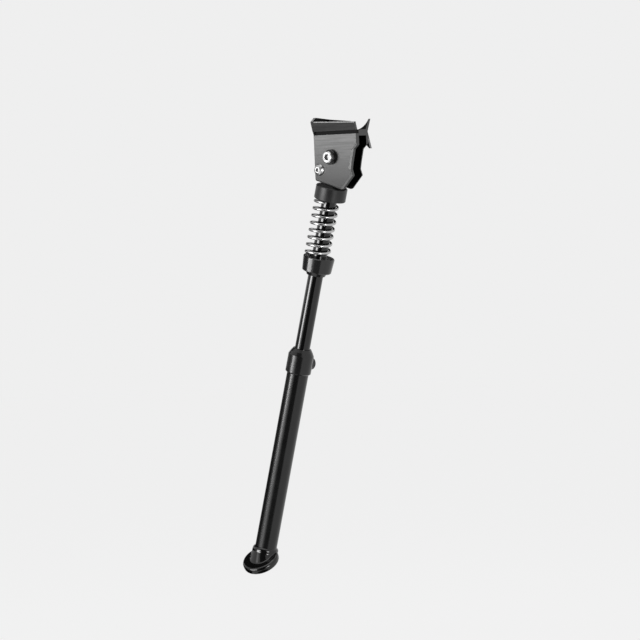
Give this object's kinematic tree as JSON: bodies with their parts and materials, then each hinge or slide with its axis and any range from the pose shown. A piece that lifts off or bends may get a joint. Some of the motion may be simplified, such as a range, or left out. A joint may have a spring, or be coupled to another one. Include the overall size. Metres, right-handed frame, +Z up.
{
  "type": "bicycle kickstand",
  "caption": "Single leg bicycle kickstand: saddle head with cam cheeks, spring loaded collar on the rod, telescoping lower leg and round tilted foot.",
  "frame": {"origin": "centre of the fixing bolt's hole, on the floor of the saddle", "axes": "+Z up along the fixing bolt, +X the way the leg folds, -Y the side of the screw heads"},
  "size_m": [0.1127, 0.0273, 0.2984],
  "materials": {
    "black_brushed_alloy": "black anodised, brushed along the head",
    "black_bush": "black acetal",
    "zinc_steel": "bright zinc",
    "spring_steel": "bright zinc wire",
    "gloss_black_rod": "gloss black paint on steel",
    "satin_black_tube": "satin black paint",
    "black_collar": "moulded black nylon",
    "gloss_black_foot": "gloss black moulded plastic"
  },
  "bodies": {
    "head_body": {"head": "black_brushed_alloy", "pivot_bush": "black_bush", "pivot_screw": "zinc_steel", "pivot_washer": "zinc_steel", "pivot_nut": "zinc_steel", "stop_screw": "zinc_steel", "stop_nut": "zinc_steel"},
    "upper_leg": {"leg_rod": "gloss_black_rod", "leg_spring": "spring_steel", "spring_seat": "black_collar", "seat_ring": "spring_steel", "rod_end_guide": "black_bush"},
    "cam": {"cam_collar": "black_collar"},
    "lower_leg": {"adjuster_collar": "black_collar", "lower_tube": "satin_black_tube", "rod_guide": "black_bush", "lock_screw": "zinc_steel", "foot": "gloss_black_foot"}
  },
  "joints": [
    {"name": "leg_swing", "type": "hinge", "parent": "head_body", "child": "upper_leg", "pos_m": [-0.0032, 0, -0.0172], "axis": [0, -1, 0], "range_deg": [0, 100]},
    {"name": "collar_slide", "type": "slide", "parent": "upper_leg", "child": "cam", "axis": [-0.2924, 0, -0.9563], "range_m": [0, 0.0144], "deforming": ["leg_spring"]},
    {"name": "leg_length", "type": "slide", "parent": "upper_leg", "child": "lower_leg", "axis": [-0.2924, 0, -0.9563], "range_m": [-0.045, 0.02]}
  ],
  "couplings": [
    {"joint": "collar_slide", "follows": "leg_swing", "m_per_rad": 0.0082}
  ]
}
